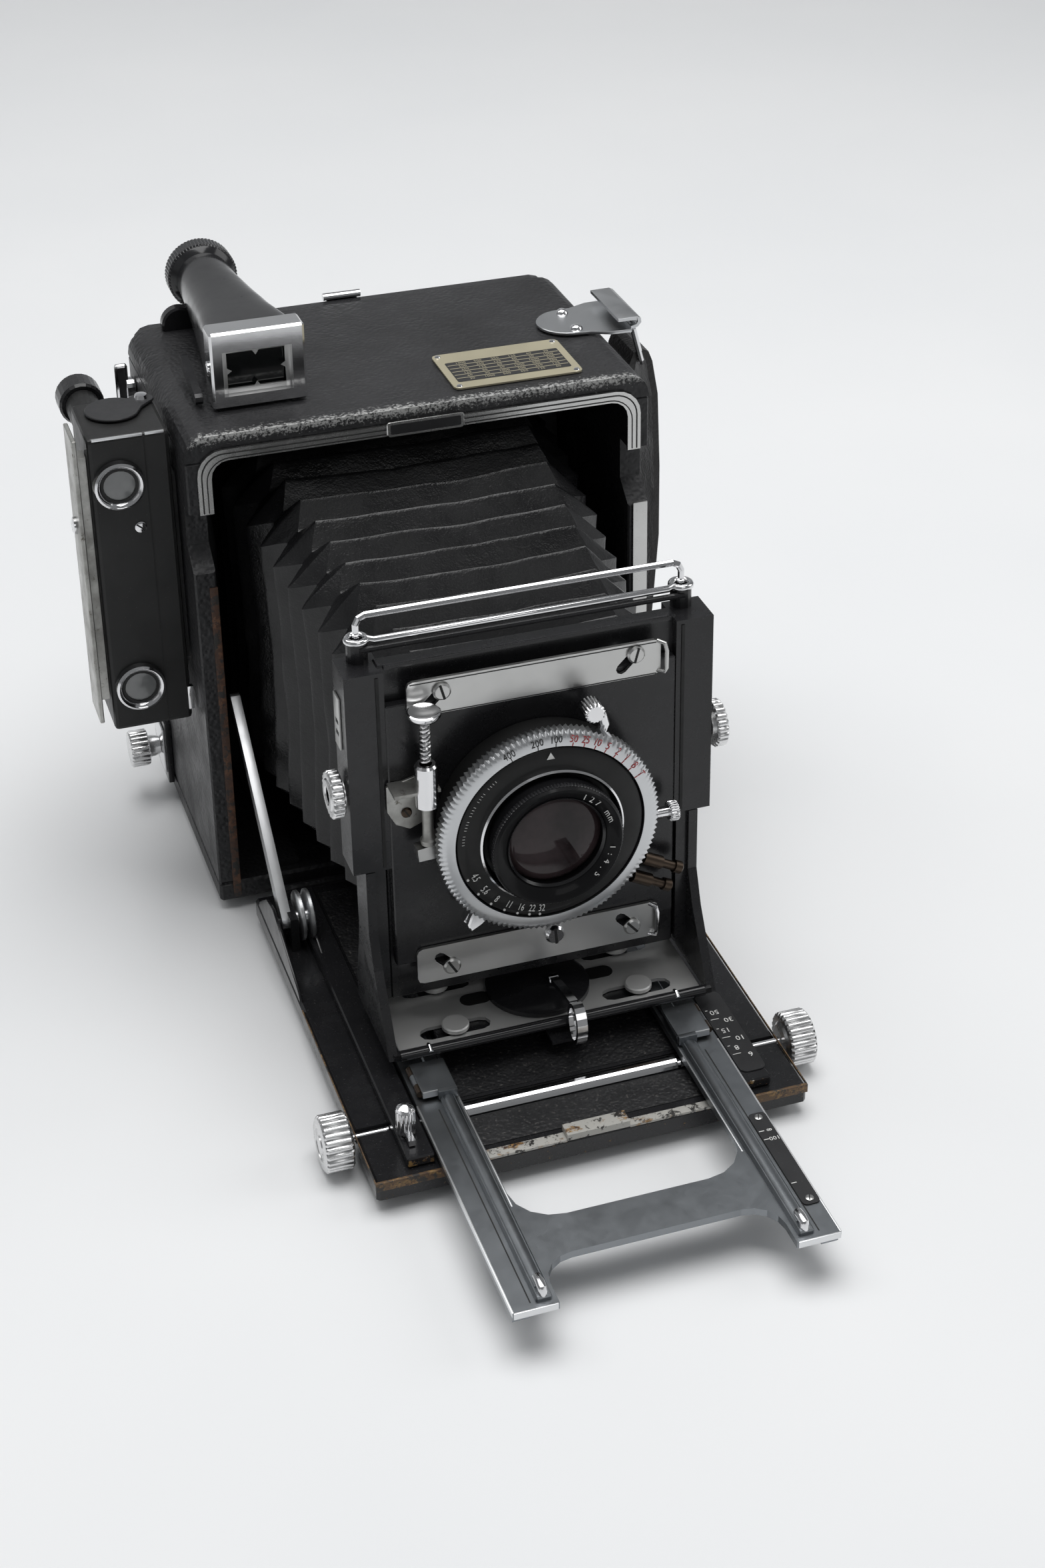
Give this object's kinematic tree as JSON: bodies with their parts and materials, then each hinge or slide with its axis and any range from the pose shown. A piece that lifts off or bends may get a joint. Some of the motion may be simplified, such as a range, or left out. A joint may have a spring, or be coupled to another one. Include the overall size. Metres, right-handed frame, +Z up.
{
  "type": "press camera",
  "caption": "Folding press camera opened on its drop bed: leather-covered body, bellows, sliding front standard with lens and shutter, finders and rangefinder.",
  "frame": {"origin": "centre of the underside of the tripod plate, below the middle of the body", "axes": "-Y the way the lens points, +Z up, +X to the right of someone facing the lens"},
  "size_m": [0.215, 0.3636, 0.2132],
  "materials": {
    "black leather": "pebbled, worn at the edges",
    "black enamel": "semi-gloss enamel, chipped at edges",
    "chrome": "bright plating",
    "satin chrome": "satin plating",
    "brushed steel": "brushed",
    "track steel": "blued satin steel",
    "brass plate": "printed plate, worn",
    "black cloth": "rubberised cloth",
    "ground glass": "ground on one face"
  },
  "bodies": {
    "body": {"body_top": "black leather", "body_bottom": "black leather", "body_left": "black leather", "body_right": "black leather", "front_trim": "satin chrome", "exposure_plate": "brass plate", "tripod_plate": "satin chrome", "bellows_rear_frame": "black enamel", "shutter_curtain": "black cloth", "back_frame": "black enamel", "finder_shoe": "black enamel", "strap_bracket": "chrome", "strap_loop": "chrome", "hand_strap": "black leather", "rangefinder_housing": "black enamel", "rangefinder_side_plate": "brushed steel", "bellows": "black leather"},
    "upper_roller": {"shutter_roller_upper": "black enamel", "winding_key": "chrome"},
    "lower_roller": {"shutter_roller_lower": "black enamel"},
    "tension": {"tension_knob": "chrome"},
    "spring_back": {"spring_back": "black enamel", "ground_glass": "ground glass"},
    "hood_door": {"hood_door": "black leather"},
    "peep_sight": {"peep_sight": "chrome"},
    "finder": {"finder_tube": "black enamel", "finder_frame": "chrome"},
    "finder_lever": {"finder_lever": "black enamel"},
    "rangefinder_eyepiece": {"rangefinder_eyepiece": "black enamel"},
    "rangefinder_flap": {"rangefinder_flap": "brushed steel"},
    "bed": {"bed_panel": "black enamel", "bed_guide_left": "black enamel", "bed_guide_right": "black enamel"},
    "track_lock": {"track_lock": "chrome"},
    "focus": {"focus_shaft": "chrome", "focus_knob_left": "chrome", "focus_knob_right": "chrome"},
    "strut_left": {"strut_left": "chrome"},
    "strut_right": {"strut_right": "chrome"},
    "track": {"track_plate": "track steel"},
    "stop_left": {"stop_left": "track steel"},
    "stop_right": {"stop_right": "track steel"},
    "carriage": {"standard_carriage": "black enamel"},
    "standard": {"standard_base": "brushed steel", "standard_frame": "black enamel"},
    "lock_ring": {"standard_lock": "chrome"},
    "lens_panel": {"lens_panel": "black enamel", "lens_board": "black enamel", "shutter_body": "black enamel", "lens_barrel": "black enamel"},
    "rise_knob_left": {"rise_knob_left": "chrome"},
    "rise_knob_right": {"rise_knob_right": "chrome"},
    "wire_finder": {"wire_finder": "chrome"},
    "clip_top": {"clip_top": "brushed steel"},
    "clip_bottom": {"clip_bottom": "brushed steel"},
    "speed_ring": {"speed_ring": "satin chrome"},
    "cocking_lever": {"cocking_lever": "chrome"},
    "release_lever": {"release_lever": "satin chrome"},
    "aperture_lever": {"aperture_lever": "chrome"},
    "plunger": {"plunger": "chrome"}
  },
  "joints": [
    {"name": "upper_roller_turn", "type": "hinge", "parent": "body", "child": "upper_roller", "pos_m": [-0.084, 0.039, 0.168], "axis": [1, 0, 0], "range_deg": [0, 1080]},
    {"name": "lower_roller_turn", "type": "hinge", "parent": "body", "child": "lower_roller", "pos_m": [0, 0.038, 0.0204], "axis": [1, 0, 0], "range_deg": [0, 1080]},
    {"name": "tension_turn", "type": "hinge", "parent": "body", "child": "tension", "pos_m": [-0.09, 0.038, 0.0204], "axis": [1, 0, 0], "continuous": true},
    {"name": "back_spring", "type": "slide", "parent": "body", "child": "spring_back", "axis": [0, 1, 0], "range_m": [0, 0.012], "stiffness_N_per_m": 1500, "springref_m": -0.004},
    {"name": "hood_hinge", "type": "hinge", "parent": "spring_back", "child": "hood_door", "pos_m": [0, 0.0696, 0.0394], "axis": [-1, 0, 0], "range_deg": [0, 100]},
    {"name": "peep_hinge", "type": "hinge", "parent": "body", "child": "peep_sight", "pos_m": [0, 0.0565, 0.1854], "axis": [1, 0, 0], "range_deg": [0, 180]},
    {"name": "finder_tilt", "type": "hinge", "parent": "body", "child": "finder", "pos_m": [-0.0506, -0.026, 0.1875], "axis": [1, 0, 0], "range_deg": [0, 3]},
    {"name": "finder_lever_turn", "type": "hinge", "parent": "body", "child": "finder_lever", "pos_m": [-0.0703, -0.024, 0.1882], "axis": [1, 0, 0], "range_deg": [-9, 0]},
    {"name": "eyepiece_turn", "type": "hinge", "parent": "body", "child": "rangefinder_eyepiece", "pos_m": [-0.101, 0.039, 0.166], "axis": [0, 1, 0], "range_deg": [-60, 60]},
    {"name": "flap_swing", "type": "hinge", "parent": "body", "child": "rangefinder_flap", "pos_m": [-0.087, -0.009, 0.1844], "axis": [0, 0, -1], "range_deg": [0, 100]},
    {"name": "bed_hinge", "type": "hinge", "parent": "body", "child": "bed", "pos_m": [0, -0.0515, 0.0052], "axis": [1, 0, 0], "range_deg": [0, 15], "deforming": ["bellows"]},
    {"name": "track_lock_turn", "type": "hinge", "parent": "bed", "child": "track_lock", "pos_m": [-0.057, -0.206, 0.02], "axis": [0, 0, 1], "range_deg": [-30, 30]},
    {"name": "focus_turn", "type": "hinge", "parent": "bed", "child": "focus", "pos_m": [0, -0.1965, 0.0096], "axis": [-1, 0, 0], "range_deg": [0, 970]},
    {"name": "strut_left_swing", "type": "hinge", "parent": "bed", "child": "strut_left", "pos_m": [-0.0676, -0.091, 0.02], "axis": [1, 0, 0], "range_deg": [-13, 0]},
    {"name": "strut_right_swing", "type": "hinge", "parent": "bed", "child": "strut_right", "pos_m": [0.0676, -0.091, 0.02], "axis": [1, 0, 0], "range_deg": [-13, 0]},
    {"name": "track_slide", "type": "slide", "parent": "bed", "child": "track", "axis": [0, 1, 0], "range_m": [0, 0.064], "deforming": ["bellows"]},
    {"name": "stop_left_fold", "type": "hinge", "parent": "track", "child": "stop_left", "pos_m": [-0.0486, -0.187, 0.0181], "axis": [0, -1, 0], "range_deg": [0, 100]},
    {"name": "stop_right_fold", "type": "hinge", "parent": "track", "child": "stop_right", "pos_m": [0.0486, -0.187, 0.0181], "axis": [0, 1, 0], "range_deg": [0, 100]},
    {"name": "carriage_slide", "type": "slide", "parent": "track", "child": "carriage", "axis": [0, -1, 0], "range_m": [0, 0.1], "deforming": ["bellows"]},
    {"name": "lateral_shift", "type": "slide", "parent": "carriage", "child": "standard", "axis": [1, 0, 0], "range_m": [-0.008, 0.008], "deforming": ["bellows"]},
    {"name": "lock_ring_lift", "type": "hinge", "parent": "standard", "child": "lock_ring", "pos_m": [0.0066, -0.16, 0.0256], "axis": [-1, 0, 0], "range_deg": [0, 40]},
    {"name": "rise", "type": "slide", "parent": "standard", "child": "lens_panel", "axis": [0, 0, 1], "range_m": [0, 0.019], "deforming": ["bellows"]},
    {"name": "rise_knob_left_turn", "type": "hinge", "parent": "lens_panel", "child": "rise_knob_left", "pos_m": [-0.061, -0.155, 0.109], "axis": [1, 0, 0], "range_deg": [-90, 90]},
    {"name": "rise_knob_right_turn", "type": "hinge", "parent": "lens_panel", "child": "rise_knob_right", "pos_m": [0.063, -0.155, 0.109], "axis": [1, 0, 0], "range_deg": [-90, 90]},
    {"name": "wire_finder_raise", "type": "slide", "parent": "lens_panel", "child": "wire_finder", "axis": [0, 0, 1], "range_m": [0, 0.075]},
    {"name": "clip_top_slide", "type": "slide", "parent": "lens_panel", "child": "clip_top", "axis": [0.7071, 0, 0.7071], "range_m": [0, 0.006]},
    {"name": "clip_bottom_slide", "type": "slide", "parent": "lens_panel", "child": "clip_bottom", "axis": [0.7071, 0, -0.7071], "range_m": [0, 0.005]},
    {"name": "speed_ring_turn", "type": "hinge", "parent": "lens_panel", "child": "speed_ring", "pos_m": [0.0013, -0.173, 0.0937], "axis": [0, -1, 0], "range_deg": [-25, 100]},
    {"name": "cocking_turn", "type": "hinge", "parent": "lens_panel", "child": "cocking_lever", "pos_m": [0.0013, -0.168, 0.0937], "axis": [0, -1, 0], "range_deg": [0, 45]},
    {"name": "release_turn", "type": "hinge", "parent": "lens_panel", "child": "release_lever", "pos_m": [0.0013, -0.167, 0.0937], "axis": [0, -1, 0], "range_deg": [0, 13]},
    {"name": "aperture_turn", "type": "hinge", "parent": "lens_panel", "child": "aperture_lever", "pos_m": [0.0013, -0.168, 0.0937], "axis": [0, -1, 0], "range_deg": [-8, 70]},
    {"name": "plunger_press", "type": "slide", "parent": "lens_panel", "child": "plunger", "axis": [0, 0, -1], "range_m": [0, 0.008], "stiffness_N_per_m": 150, "springref_m": -0.003}
  ],
  "couplings": [
    {"joint": "lower_roller_turn", "follows": "upper_roller_turn", "ratio": 1},
    {"joint": "finder_lever_turn", "follows": "finder_tilt", "ratio": -2.6},
    {"joint": "focus_turn", "follows": "track_slide", "rad_per_m": 263},
    {"joint": "strut_left_swing", "follows": "bed_hinge", "ratio": -0.853},
    {"joint": "strut_right_swing", "follows": "bed_hinge", "ratio": -0.853},
    {"joint": "release_turn", "follows": "plunger_press", "rad_per_m": 27}
  ]
}
